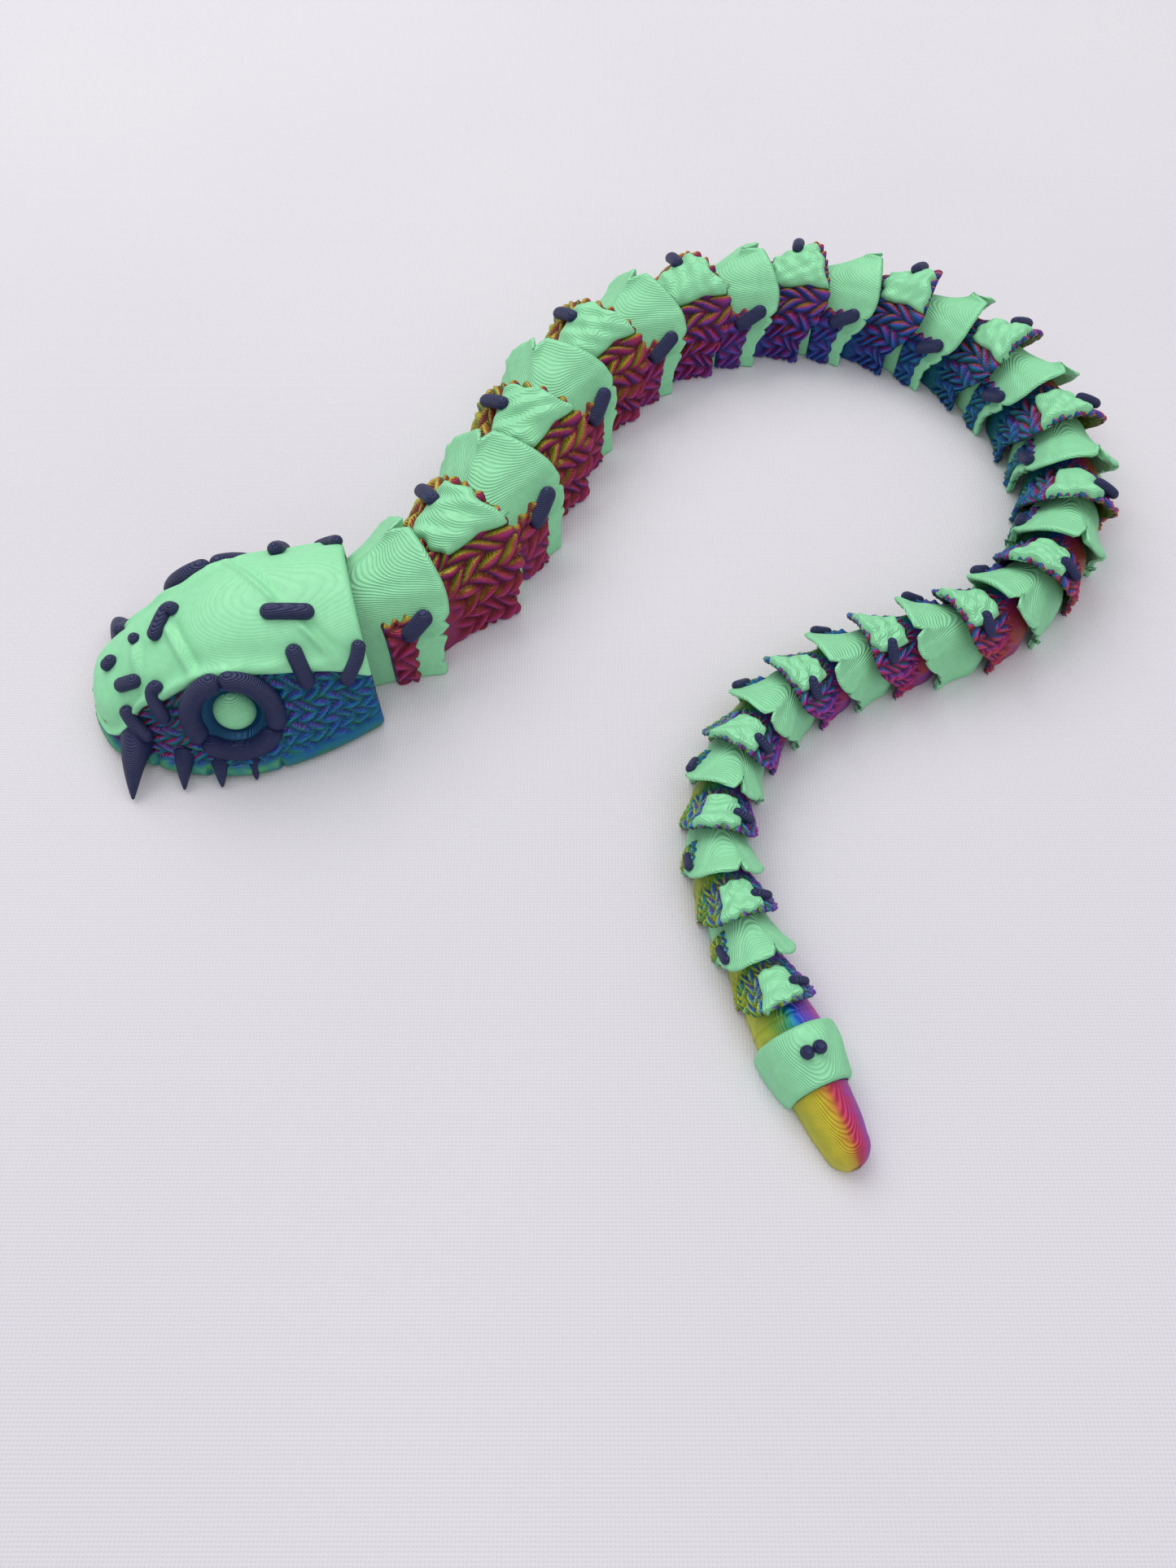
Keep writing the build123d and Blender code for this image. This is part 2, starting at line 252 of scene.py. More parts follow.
def end_spaced(start, end, count=18):
    """From start to end, closer together near both ends."""
    u = (1 - np.cos(np.linspace(0, pi, count))) / 2
    return np.asarray(start, float) + u[:, None] * (np.asarray(end, float) - np.asarray(start, float))


def put(name, body, part, origin, heading, material, replaces=()):
    """Makes a piece from points in its body's own frame, which may carry colours."""
    points, faces = part
    mesh = bpy.data.meshes.new(name)
    mesh.from_pydata(placed(points, origin, heading).tolist(), [], faces)
    mesh.polygons.foreach_set("use_smooth", [True] * len(mesh.polygons))
    mesh.materials.append(material)
    if points.shape[1] > 3:
        layer = mesh.color_attributes.new("tint", "FLOAT_COLOR", "POINT")
        colours = np.c_[points[:, 3:], np.ones(len(points))]
        layer.data.foreach_set("color", colours.astype(np.float32).ravel())
    mesh.update()
    piece = bpy.data.objects.new(name, mesh)
    bpy.context.scene.collection.objects.link(piece)
    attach(piece, body)
    if replaces:
        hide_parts(*replaces)


# ---- colours of the three-colour filament -----------------------------------------
def linear(rgb):
    rgb = np.asarray(rgb, float) / 255
    return np.where(rgb <= 0.04045, rgb / 12.92, ((rgb + 0.055) / 1.055) ** 2.4)


# Colour by which side of the three-colour strand shows, in degrees round it: 0 is its magenta side.
FACING = [-180, -150, -120, -85, -55, -20, 0, 25, 50, 85, 120, 150, 180]
SHADES = linear([
    (120, 160, 50), (24, 140, 100), (0, 122, 160), (10, 92, 190), (84, 70, 186),
    (170, 54, 160), (196, 42, 112), (190, 44, 84), (188, 80, 50), (206, 160, 40),
    (214, 200, 48), (186, 194, 48), (120, 160, 50),
])
# Side of the strand on a segment's right, and how far it turns from there to its left, by segment.
UP_SHARE, REAR_SHARE = 0.36, 0.16      # how much a wall that faces up or back shows the strand's turn
FIRST_HUE = ([0, 5, 13, 21, 25, 33], [0.0, 0.0, -118.0, -160.0, -195.0, -210.0])
HUE_TURN = ([5, 13, 21, 25, 33], [175.0, 225.0, 208.0, 198.0, 198.0])


def rainbow(normals, first_hue, turn=180.0, dark=1.0):
    """Colour of each point from its normal: it changes from the right, over the top, to the left."""
    over = UP_SHARE * normals[..., 2] + REAR_SHARE * normals[..., 0]
    angle = np.degrees(np.arctan2(over, -normals[..., 1])) * turn / 180 + first_hue
    angle = (angle + 180) % 360 - 180
    tint = np.stack([np.interp(angle, FACING, SHADES[:, k]) for k in range(3)], -1)
    return tint * np.asarray(dark)[..., None]


# ---- materials -----------------------------------------------------------------------
def link_all(tree, pairs):
    for out_socket, in_socket in pairs:
        tree.links.new(out_socket, in_socket)


def maths(tree, kind, first, second=0.5):
    node = tree.nodes.new("ShaderNodeMath")
    node.operation = kind
    for socket, value in zip(node.inputs, (first, second)):
        if isinstance(value, (int, float)):
            socket.default_value = value
        else:
            tree.links.new(value, socket)
    return node.outputs[0]


def mixed(tree, kind, share, first, second):
    """Colour mix node's result; colours may be sockets or tuples."""
    node = tree.nodes.new("ShaderNodeMix")
    node.data_type = "RGBA"
    node.blend_type = kind
    for socket, value in ((node.inputs[0], share), (node.inputs[6], first), (node.inputs[7], second)):
        if isinstance(value, bpy.types.NodeSocket):
            tree.links.new(value, socket)
        elif isinstance(value, (int, float)):
            socket.default_value = value
        else:
            socket.default_value = (*value, 1.0)
    return node.outputs[2]


LAYER = 0.20                           # printed layer height, mm


def noise(tree, where, scale, detail=2.0):
    node = tree.nodes.new("ShaderNodeTexNoise")
    node.inputs["Scale"].default_value = scale
    node.inputs["Detail"].default_value = detail
    tree.links.new(where, node.inputs["Vector"])
    return node.outputs["Fac"]


def bumped(tree, height, strength, distance):
    """Normal of a surface that a height pattern roughens."""
    bump = tree.nodes.new("ShaderNodeBump")
    bump.inputs["Strength"].default_value = strength
    bump.inputs["Distance"].default_value = distance
    tree.links.new(height, bump.inputs["Height"])
    return bump.outputs["Normal"]


def height_of(tree, socket):
    """Z of a vector socket."""
    parts = tree.nodes.new("ShaderNodeSeparateXYZ")
    tree.links.new(socket, parts.inputs[0])
    return parts.outputs[2]


def layer_lines(tree, where):
    """Waves from -1 to 1, one for each printed layer."""
    wobble = maths(tree, "MULTIPLY", noise(tree, where, 140.0), 3.0)
    height = maths(tree, "MULTIPLY", height_of(tree, where), 2 * pi / (LAYER * MM))
    return maths(tree, "SINE", maths(tree, "ADD", height, wobble))


def printed(name, shade, roughness=0.5, coat=0.0, layer_depth=0.05, metal=0.0):
    """Printed plastic with fine layer lines and painted shade in their troughs; without a shade it takes
    the mesh's colours.
    """
    material = bpy.data.materials.new(name)
    material.use_nodes = True
    tree = material.node_tree
    shader = tree.nodes["Principled BSDF"]
    where = tree.nodes.new("ShaderNodeTexCoord").outputs["Object"]
    lines = layer_lines(tree, where)
    facing = tree.nodes.new("ShaderNodeNewGeometry").outputs["Normal"]
    level = maths(tree, "ADD", maths(tree, "ABSOLUTE", height_of(tree, facing)), 0.25)
    ridges = maths(tree, "MULTIPLY", lines, level)
    grain = noise(tree, where, 900.0, 4.0)
    if shade is None:
        source = tree.nodes.new("ShaderNodeAttribute")
        source.attribute_name = "tint"
        base = source.outputs["Color"]
    else:
        base = tuple(linear(shade))
    deep = mixed(tree, "MULTIPLY", 1.0, base, (0.80, 0.82, 0.84))
    colour = mixed(tree, "MIX", grain, base, deep)
    # Painted shade: the colour is darkened by up to a tenth in the trough of each layer line.
    layer_groove_shade = maths(tree, "MULTIPLY", maths(tree, "SUBTRACT", 0.0, lines), 0.10)
    colour = mixed(tree, "MULTIPLY", maths(tree, "MAXIMUM", layer_groove_shade, 0.0), colour, (0.2, 0.2, 0.2))
    uneven = maths(tree, "ADD", maths(tree, "MULTIPLY", grain, 0.2), roughness - 0.1)
    link_all(tree, [
        (colour, shader.inputs["Base Color"]),
        (uneven, shader.inputs["Roughness"]),
        (bumped(tree, ridges, 1.0, layer_depth * MM), shader.inputs["Normal"]),
    ])
    shader.inputs["Coat Weight"].default_value = coat
    shader.inputs["Coat Roughness"].default_value = 0.35
    shader.inputs["Metallic"].default_value = metal
    return material


MINT = printed("mint_plastic", (158, 242, 184), roughness=0.55)
SMOOTH_MINT = printed("smooth_mint_plastic", (158, 242, 184), layer_depth=0.008)
NAVY = printed("navy_plastic", (15, 28, 84), layer_depth=0.06)
SILK = printed("rainbow_silk", None, roughness=0.42, coat=0.10, layer_depth=0.06, metal=0.35)


# ---- cowls ---------------------------------------------------------------------------
def cowl_size(width, length, x):
    """Half width and height of a cowl at x, where it is length long."""
    share = (np.maximum(x, 0) / length) ** FLARE_POWER
    half = width / 2 * (NECK_RATIO + (1 - NECK_RATIO) * share)
    height = width * HEIGHT_RATIO * (NECK_HEIGHT_RATIO + (1 - NECK_HEIGHT_RATIO) * share)
    return half, height


def arch(half, height, leg, t):
    """Across and up of an arch at t, from -1 at the right foot to 1 at the left."""
    bend = np.clip(np.abs(t) / ARC_SHARE, 0, 1) * pi / 2
    foot = np.clip((1 - np.abs(t)) / (1 - ARC_SHARE), 0, 1)
    y = np.sign(t) * half * np.sin(bend)
    z = np.where(np.abs(t) > ARC_SHARE, leg * foot, leg + (height - leg) * np.cos(bend))
    return y, z


def on_cowl(width, length, x, t, offset=0.0):
    """Points on the flared part of a cowl."""
    half, height = cowl_size(width, length, x)
    y, z = arch(half + offset, height + offset, LEG_RATIO * (height + offset), t)
    return np.stack(np.broadcast_arrays(x, y, z), -1)


def dome(half, height, turns, t):
    """Grid of a domed front, at turns in degrees round from its sides to its foremost line."""
    leg = LEG_RATIO * height
    turn = np.radians(turns)[:, None]
    y, z = arch(half * np.cos(turn), leg + (height - leg) * np.cos(turn), leg, t[None, :])
    return np.stack([np.broadcast_to(-half * np.sin(turn), y.shape), y, z], -1)


def cowl_grid(width, length, rows, t, offset=0.0):
    """Grid of the domed front and the trimmed flare, and each point's x before the trim."""
    dome_rows = rows // 4
    half, height = cowl_size(width, length, 0)
    turns = np.linspace(DOME_END, 0, dome_rows, endpoint=False)
    front = dome(half + offset, height + offset, turns, t)
    along = np.linspace(0, length, rows - dome_rows)[:, None] + 0 * t[None, :]
    trimmed = along - foot_pull(t[None, :], along, length, width)
    flare = on_cowl(width, length, trimmed, t[None, :], offset)
    return np.concatenate([front, flare]), np.concatenate([front[..., 0], along])


def knit(t, x, row, columns=KNIT_COLUMNS):
    """Relief from 0 to 1 of columns of V-shaped stitches, each a row long, that run along x."""
    place = (t + 1) * columns / 2 + 0.12 * np.sin(2 * pi * x / (3.1 * row))
    within = place - np.floor(place)
    reach = np.abs(within - 0.5) * 2
    phase = x / row + 1.15 * reach + 0.37 * np.floor(place)
    strand = np.abs(np.sin(pi * phase))
    ends = np.sqrt(np.clip(1 - 0.92 * (2 * reach - 1) ** 2, 0, 1))
    return strand ** 0.75 * ends


def lip(length, x, reach):
    """1 over the cowl and falling at the very rim, for a rounded edge."""
    u = np.clip((length - x) / reach, 0, 1)
    return np.sqrt(1 - (1 - u) ** 2)


def slot_cells(points, width, level):
    """Cells of a grid that lie in the slot that the link ahead swings in."""
    middle = (points[:-1, :-1] + points[1:, 1:]) / 2
    half = cowl_size(width, 1.0, 0)[0]
    bar = degrees(np.arcsin(BAR_HALF_WIDTH * width / (half - wall_of(width))))
    aside = np.abs(np.degrees(np.arctan2(middle[..., 1], -middle[..., 0])))
    bottom = link_levels(width)[level] - gap_of(width)
    top = bottom + LINK_THICKNESS * width + 2 * gap_of(width)
    inside = (middle[..., 2] > bottom) & (middle[..., 2] < top)
    return (aside < SWING + bar + SLOT_MARGIN) & inside


def hinge_post(width, own_level):
    """Hinge pin, with shoulders that keep the ring ahead at its level."""
    low, high = link_levels(width)
    gap, tall = gap_of(width), LINK_THICKNESS * width
    roof = cowl_size(width, 1.0, 0)[1] - wall_of(width) / 2
    pin, shoulder = PIN_RADIUS * width, (PIN_RADIUS + RING_WALL) * width
    spans = [(high, roof)] if own_level == 1 else [(BASE, low + tall), (high + tall + gap, roof)]
    posts = [(pin, BASE, roof)] + [(shoulder, *span) for span in spans]
    return [lathe([(radius, bottom), (radius, top)]) for radius, bottom, top in posts]


def joint_parts(width, next_width, pitch, own_level):
    """Floor plate, hinge pin and link of one segment."""
    link = link_part(0, pitch, width, next_width, own_level)
    return merged(*hinge_post(width, own_level), floor_plate(width), link)


def floor_plate(width):
    """Half disc under the front dome."""
    radius = cowl_size(width, 1.0, 0)[0] - wall_of(width) / 2
    back = 2.5 * PIN_RADIUS * width
    angles = np.linspace(pi / 2, 3 * pi / 2, 24)
    rim = [(radius * cos(a), radius * sin(a)) for a in angles]
    rim += [(back, -radius), (back, radius)]
    count, thick = len(rim), wall_of(width)
    points = np.array([(x, y, z) for z in (BASE, thick) for x, y in rim])
    faces = [list(range(count))[::-1], list(range(count, 2 * count))]
    for j in range(count):
        n = (j + 1) % count
        faces.append([j, n, n + count, j + count])
    return points, faces


def link_part(start, pitch, width, next_width, level):
    """Bar to the next hinge and the ring round its pin."""
    bottom = link_levels(next_width)[level]
    top = bottom + LINK_THICKNESS * next_width
    half_bar = BAR_HALF_WIDTH * width
    outer = (PIN_RADIUS + RING_WALL) * next_width + gap_of(next_width)
    hole = PIN_RADIUS * next_width + gap_of(next_width)
    reach = pitch - (outer + hole) / 2
    bar = block((start, -half_bar, bottom), (reach, half_bar, top))
    return merged(bar, moved(ring(hole, outer, bottom, top), (pitch, 0, 0)))


def columns_for(width):
    return int(np.interp(width, [13, 28], [121, 193]))


def rows_for(width):
    return int(np.interp(width, [13, 28], [40, 64]))


# Notches in a mint rim: place across, depth and reach, with reach in shares of t.
NOTCHES = [
    (0.15, 0.150, 0.050), (-0.50, 0.055, 0.036), (-0.63, 0.060, 0.038), (-0.88, 0.030, 0.030),
    (0.46, 0.055, 0.034), (0.66, 0.045, 0.032), (0.86, 0.060, 0.040),
]
# Creases in a mint cowl: place across at the rim and at the front, and height.
CREASES = [(0.22, 0.05, 0.30), (0.52, 0.30, 0.34), (-0.36, -0.16, 0.16), (-0.66, -0.70, 0.14)]
CREASE_REACH = 0.045
KNIT_DEPTH = 0.060                     # share of the width


def torn_rim(x, t, length, width, seed):
    """How far the rim is pulled back at its notches, and how far it rolls up beside them."""
    rng = np.random.default_rng(seed)
    along = np.clip(x / length, 0, 1)
    pull = np.zeros_like(along)
    roll = np.zeros_like(along)
    for place, depth, reach in NOTCHES:
        place = place + rng.uniform(-0.03, 0.03)
        depth = depth * rng.uniform(0.75, 1.2) * width
        if abs(place) > 0.55:
            depth *= np.interp(width, [17, 26], [0.3, 1.0])
        near = np.abs(t[None, :] - place) / reach
        pull += depth * np.clip(1 - near, 0, 1) * along ** 4
        roll += 0.022 * width * hill(near, 1.15, 0.8) * along ** 6 * (abs(place) < 0.7)
    return pull, roll


def foot_pull(t, x, length, width):
    """How far the rim is drawn forward near its feet, for rounded corners."""
    aside = np.sin(np.clip(np.abs(t) / ARC_SHARE, 0, 1) * pi / 2)
    low = np.clip((aside - 0.55) / 0.45, 0, 1)
    deepest = width * np.interp(width, [13, 20, 28], [0.34, 0.31, 0.13])
    return deepest * (1 - np.sqrt(1 - 0.98 * low ** 2)) * np.clip(x / length, 0, 1) ** 2


def cowl_walls(i, width, length):
    """Places across, x before the trim, both faces of a plain cowl, and the slot's cells."""
    t = np.linspace(-1, 1, columns_for(width))
    rows = rows_for(width)
    outer, x = cowl_grid(width, length, rows, t)
    inner, _ = cowl_grid(width, length, rows, t, -wall_of(width))
    return t, x, outer, inner, slot_cells(outer, width, 1 - i % 2)


def mint_cowl(i, width, length):
    """Smooth cowl with creases and a torn rim."""
    t, x, outer, inner, hole = cowl_walls(i, width, length)
    pull, roll = torn_rim(x, t, length, width, i)
    outer[..., 0] -= pull
    inner[..., 0] -= pull
    shown = step(0.15 * length, 0.6 * length, x)
    rise = roll.copy()
    for at_rim, at_front, height in CREASES:
        line = at_front + (at_rim - at_front) * np.clip(x / length, 0, 1)
        side = (t[None, :] - line) / CREASE_REACH
        rise += height * width / WIDTH_NECK * shown * (hill(side, 0, 1) - 0.8 * hill(side, 1.8, 0.9))
    rise += 0.012 * width * shown * ripple(outer, 0.34 * width, i + 50)
    wall = wall_of(width)
    edge = lip(length, x, 0.8 * wall)
    normals = grid_normals(outer)
    outer = outer + normals * (rise * 0.6 - 0.45 * wall * (1 - edge))[..., None]
    inner = inner + normals * (0.3 * wall * (1 - edge))[..., None]
    outer[..., 2] = np.maximum(outer[..., 2], 0)
    return shell(outer, inner, hole)


def knit_cowl(i, width, length):
    """Cowl with knitted relief; its points carry their colours."""
    t, x, outer, inner, hole = cowl_walls(i, width, length)
    relief = knit(t[None, :], x, KNIT_ROW * width)
    shown = step(0.02 * length, 0.30 * length, x)
    wall = wall_of(width)
    edge = lip(length, x, 0.8 * wall)
    normals = grid_normals(outer)
    rise = KNIT_DEPTH * width * (relief - 0.62) * shown - 0.1 - 0.4 * wall * (1 - edge)
    outer = outer + normals * rise[..., None]
    scallop = 0.030 * width * (relief - 0.5) * step(0.6 * length, length, x)
    outer[..., 0] += scallop
    inner[..., 0] += scallop
    inner = inner + normals * (0.3 * wall * (1 - edge))[..., None]
    outer[..., 2] = np.maximum(outer[..., 2], 0)
    return shell(*knit_tinted(i, outer, inner, relief * shown + 0.55 * (1 - shown)), hole)


def knit_tinted(i, outer, inner, relief):
    """Both faces of a knitted wall with their colours, with painted shade in the grooves and over the
    whole inner face.
    """
    hue, turn = np.interp(i, *FIRST_HUE), np.interp(i, *HUE_TURN)
    gain = np.interp(i, [3, 12, 33], [1.0, 1.1, 1.6])
    spread = hue + 14 * ripple(outer, 2.2, i)
    # Painted shade: the outer face is darker where the knit's relief is low, in its grooves.
    out_tint = rainbow(grid_normals(outer), spread, turn, gain * (0.24 + 0.72 * relief))
    inside = hue + 280 + 20 * ripple(inner, 3.0, i + 9)
    # Painted shade: the inner face is drawn at three tenths brightness.
    shaded_in_tint = rainbow(-grid_normals(inner), inside, turn, np.full(relief.shape, 0.3))
    return tinted(outer, out_tint), tinted(inner, shaded_in_tint)


def side_panel(i, width, length):
    """Knitted panel on the right side of a mint cowl; its points carry their colours."""
    rows, cols = 30, 46
    u = np.linspace(0, 1, rows)[:, None]
    v = np.linspace(0, 1, cols)[None, :]
    edge = 0.025 * np.sin(9 * v * pi) + 0.05 * v
    front = 0.34 if i == 0 else 0.16
    x = length * (front + (0.62 - front + edge) * u)
    t = -1 + (0.57 + 0.02 * np.sin(6 * pi * u)) * v
    relief = knit(t, x, KNIT_ROW * width)
    base = on_cowl(width, length, x - foot_pull(t, x, length, width), t)
    normals = grid_normals(base)
    shown = step(0.0, 0.12, u) * step(1.0, 0.93, u) * step(0.0, 0.05, 1 - v)
    rise = 0.024 * width + 0.036 * width * (relief - 0.35) * shown
    outer = base + normals * (rise - 0.02 * width * (1 - shown))[..., None]
    outer[..., 2] = np.maximum(outer[..., 2], 0)
    inner = base - normals * 0.3 * wall_of(width)
    return shell(*knit_tinted(i, outer, inner, relief))


def cowl_bar(width, length, start, end, radius, lift):
    """Yarn bar over a cowl, between two places given as a share of its length and t."""
    path = end_spaced(start, end)
    x, t = path[:, 0] * length, path[:, 1]
    base = on_cowl(width, length, x, t)
    far = on_cowl(width, length, x, t, 1.0)
    ups = far - base
    return yarn(base + ups * lift, ups, radius, flat=0.85)


def top_patch(i, width, length):
    """Mint patch over the top of a knitted cowl, with a horn at one corner."""
    across = along = np.linspace(-1, 1, 44)
    a, b = across[None, :], along[:, None]
    horn = step(0.2, 1.0, b) * step(0.2, 1.0, -a)
    wave = 0.022 * np.sin(7 * a + i) * np.abs(b) ** 3
    t = 0.25 * a * np.sqrt(1 - 0.30 * b ** 2) * (1 - 0.05 * (1 - b ** 2)) - 0.085 * horn
    x = length * (0.62 + 0.34 * b * np.sqrt(1 - 0.26 * a ** 2) + 0.07 * horn + wave)
    t, x = np.broadcast_arrays(t, x)
    x = np.minimum(x, 0.99 * length)
    base = on_cowl(width, length, x, t)
    normals = grid_normals(base)
    rim = np.maximum(np.abs(a), np.abs(b))
    crown = np.sqrt(np.clip(1 - rim ** 8, 0, 1))
    rise = crown * width * (0.046 + 0.013 * ripple(base, 0.13 * width, i + 7))
    outer = base + normals * rise[..., None]
    inner = base - normals * 0.045 * width
    return shell(outer, inner)


# ---- the chain -------------------------------------------------------------------------
def body_name(i):
    return f"{'mint' if i % 2 == 0 else 'knit'}_{i // 2 + 1:02d}"


def with_plain(part, extra, tint):
    """Joins a part whose points carry colours with a plain one of a single tint."""
    return merged(part, (tinted(extra[0], tint), extra[1]))


def build_segment(i, places):
    origin, heading, pitch = places[i]
    width = width_of(i)
    length = pitch + RIM_OVERHANG * width
    body = body_name(i)
    number = f"{i // 2 + 1:02d}"
    inside = joint_parts(width, width_of(min(i + 1, SEGMENTS - 1)), pitch, i % 2)
    if i % 2 == 0:
        cowl = merged(mint_cowl(i, width, length), inside)
        put(f"mint_cowl_{number}", body, cowl, origin, heading, MINT, [f"mint_segment_{number}"])
        panel = side_panel(i, width, length)
        put(f"side_panel_{number}", body, panel, origin, heading, SILK)
        front = 0.48 if i == 0 else 0.38
        bar = cowl_bar(width, length, (front, -0.57), (0.78, -0.44), 0.053 * width, 0.034 * width)
        put(f"side_stitch_{number}", body, bar, origin, heading, NAVY)
        return
    # The hinge parts inside a knitted cowl are a fixed dark maroon: painted shade.
    cowl = with_plain(knit_cowl(i, width, length), inside, linear((70, 30, 62)) * 0.8)
    put(f"knit_cowl_{number}", body, cowl, origin, heading, SILK, [f"knit_segment_{number}"])
    patch = top_patch(i, width, length)
    put(f"sewn_patch_{number}", body, patch, origin, heading, MINT, [f"top_patch_{number}"])
    bar = cowl_bar(width, length, (0.64, 0.12), (0.74, 0.37), 0.048 * width, 0.055 * width)
    put(f"top_stitch_{number}", body, bar, origin, heading, NAVY)


# ---- head --------------------------------------------------------------------------------
# Stations from the nose to the rim: x, floor half, shoulder half and height.
HEAD_STATIONS = np.array([
    (-39.3, 5.4, 4.0, 6.4), (-37.5, 8.2, 6.4, 8.2), (-33.0, 11.8, 9.2, 11.2),
    (-26.0, 15.6, 11.8, 15.2), (-18.0, 17.9, 13.7, 18.8), (-10.0, 17.7, 14.1, 20.0),
    (-3.0, 16.3, 13.9, 19.8), (4.4, 13.9, 13.5, 19.0),
])
HEAD_REAR, NOSE = 4.4, -39.6
HEAD_ASKEW, HEAD_ASIDE = 3.0, -1.5     # the head's own turn and shift off the neck line
NECK_FRONT, NECK_HALF, NECK_HEIGHT = -10.4, 12.6, 18.2
SECTION_KNOTS = [-1.0, -0.93, -0.62, -0.30, 0.0, 0.30, 0.62, 0.93, 1.0]
CHIN_START, CHIN_RISE = -28.0, 1.2
CAP_THICKNESS = 1.0
# Lower edge of the cap in side view, from the nose to behind the rim.
HEM_X = [-40.3, -38.5, -37.1, -33.4, -31.8, -27.5, -24.1, -20.6, -14.8, -8.3, -1.7, 5.0]
HEM_Z = [3.6, 3.6, 4.2, 7.4, 9.6, 12.0, 14.0, 15.6, 16.4, 15.8, 14.6, 12.0]
EYE_X, EYE_Z, EYE_OUT, EYE_TILT, EYE_TURN = -17.3, 10.1, 13.0, 24.0, 8.0
RING_OUTER, RING_INNER = 7.9, 4.8
PUPIL_RADIUS = 3.3
HEAD_HUE = -134.0
HEAD_COLUMNS, FRONT_ROWS, HOLLOW_ROWS = 211, 84, 34
HEAD_STITCH, HEAD_BRAIDS = 2.35, 15
LIP_GAPS = (-31.4, -23.6, -12.6)       # x of the notches in the lips


def head_section(x, t, offset=0.0):
    """Grid of the head's surface for stations x and places t across."""
    close = np.sqrt(np.clip(1 - ((NOSE + 2 - np.minimum(x, NOSE + 2)) / 2.1) ** 2, 0.02, 1))
    floor, shoulder, height = smooth_curve(HEAD_STATIONS[:, 0], HEAD_STATIONS[:, 1:], x).T
    right = [
        (floor + offset, 0 * x),
        (floor * 1.005 + offset, 0.10 * height),
        (shoulder + offset, 0.50 * height + offset / 2),
        (0.62 * shoulder + 0.6 * offset, 0.88 * height + offset),
    ]
    top = [(0 * x, height + offset)]
    left = [(-u, z) for u, z in reversed(right)]
    controls = np.array([(-u, z) for u, z in right] + top + [(-u, z) for u, z in left])
    yz = smooth_curve(SECTION_KNOTS, controls, t)
    middle = 0.45 * height
    y = yz[:, 0] * close
    z = middle + (yz[:, 1] - middle) * close
    chin = CHIN_RISE * np.clip((CHIN_START - x) / (CHIN_START - NOSE), 0, 1)
    z = np.where(z < chin, chin, z)
    return np.stack([np.broadcast_to(x, y.shape), y, z], -1).transpose(1, 0, 2)


def eye_frame(side):
    """Turn whose columns are down the cheek, along it and out of the eye."""
    a, b = radians(side * (90 + EYE_TURN)), radians(90 - EYE_TILT)
    about_z = np.array([(cos(a), -sin(a), 0), (sin(a), cos(a), 0), (0, 0, 1)])
    about_y = np.array([(cos(b), 0, sin(b)), (0, 1, 0), (-sin(b), 0, cos(b))])
    return about_z @ about_y


def eye_centre(side):
    return np.array([EYE_X, side * EYE_OUT, EYE_Z])


def pressed_eyes(points):
    """Pushes the cheek in where the eye bowls sit."""
    points = points.copy()
    for side in (-1, 1):
        turn = eye_frame(side)
        local = (points - eye_centre(side)) @ turn
        away = np.hypot(local[..., 0], local[..., 1])
        near = 1 - step(RING_INNER + 0.6, RING_OUTER - 0.8, away)
        depth = np.where(local[..., 2] > -6, near, 0) * np.maximum(local[..., 2] + 2.4, 0)
        points -= depth[..., None] * turn[:, 2]
    return points


def hem_height(x):
    return smooth_curve(HEM_X, HEM_Z, x)


def cheek_relief(smooth, t):
    """How far the lower head rises off its smooth surface, its share of lip, and its brightness, with
    painted shade in the knit's grooves.
    """
    along, z = smooth[..., 0], smooth[..., 2]
    relief = knit(t[None, :], along, HEAD_STITCH, HEAD_BRAIDS)
    lips = 1 - step(2.4, 3.3, z)
    ridge = lips * hill(z, 1.5, 1.4)
    gaps = sum(hill(along, place, 0.35) for place in LIP_GAPS)
    shown = (1 - lips) * step(-40.0, -37.0, along)
    edge = lip(HEAD_REAR, along, 1.2)
    rise = 1.10 * (relief - 0.66) * shown + 0.8 * ridge * (1 - 1.8 * np.clip(gaps, 0, 1))
    rise = rise - 0.5 * (1 - edge)
    # Painted shade: off the lips the knit is darker where its relief is low.
    bright = np.where(lips > 0.5, 1.0, 0.35 + 0.9 * relief * shown + 0.4 * (1 - shown))
    return rise, lips, bright


def cheek_tints(smooth, outer, lips, bright):
    """Colours of the lower head, with a painted teal-green highlight along the crest of its lips."""
    hue = HEAD_HUE + 14 * ripple(outer, 3.0, 4)
    tints = rainbow(grid_normals(outer), hue, 200.0, bright)
    # Painted highlight: the top of the lip ridge, in front of the eyes, is blended toward a light
    # teal-green.
    lip_crest_highlight = lips * hill(smooth[..., 2], 2.1, 0.9) * step(-11.0, -14.0, smooth[..., 0])
    lip_crest_highlight = (lip_crest_highlight * (0.6 + 0.4 * ripple(outer, 2.5, 5)))[..., None]
    return tints + np.clip(lip_crest_highlight, 0, 1) * (linear((90, 190, 120)) - tints)


